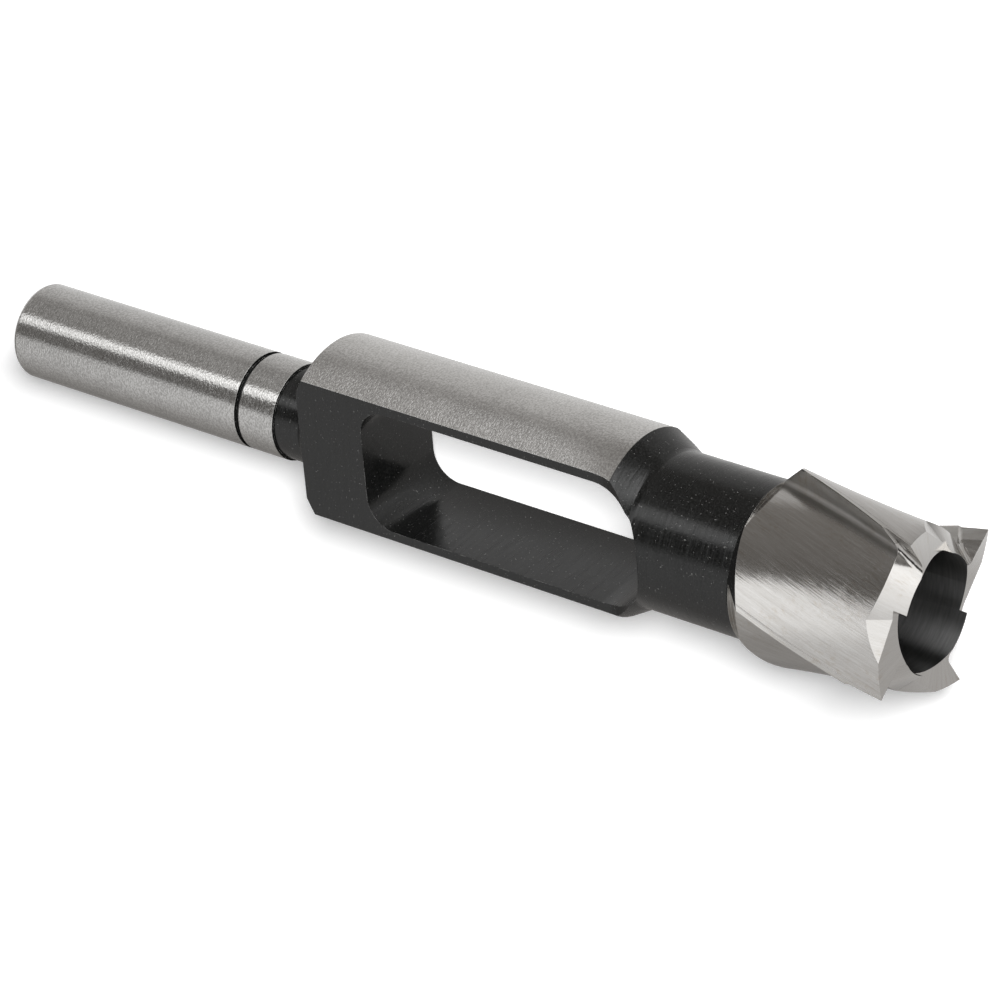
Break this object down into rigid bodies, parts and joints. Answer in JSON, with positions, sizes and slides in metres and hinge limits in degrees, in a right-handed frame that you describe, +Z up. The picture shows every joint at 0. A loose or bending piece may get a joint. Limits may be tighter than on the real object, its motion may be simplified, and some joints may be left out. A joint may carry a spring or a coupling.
{
  "type": "plug cutter",
  "caption": "Tube type plug cutter for a drill press: straight shank, slotted body that lets the wood plugs out at the side, and a fluted ring of cutting teeth round a bore.",
  "frame": {"origin": "on the floor, under the middle of the tool's bounding box", "axes": "+X along the tool towards its teeth, +Z up; the tool lies at rest on the edge of one flat, the shank's end and a tooth, so its axis rises 3.2 degrees towards the teeth and the window looks up, 15 degrees from upright"},
  "size_m": [0.141, 0.0266, 0.0265],
  "materials": {
    "steel": "ground bright on shank, body and teeth, black oxide on flats, window, cone and tube"
  },
  "bodies": {
    "root": {"plug_cutter": "steel"}
  },
  "joints": []
}
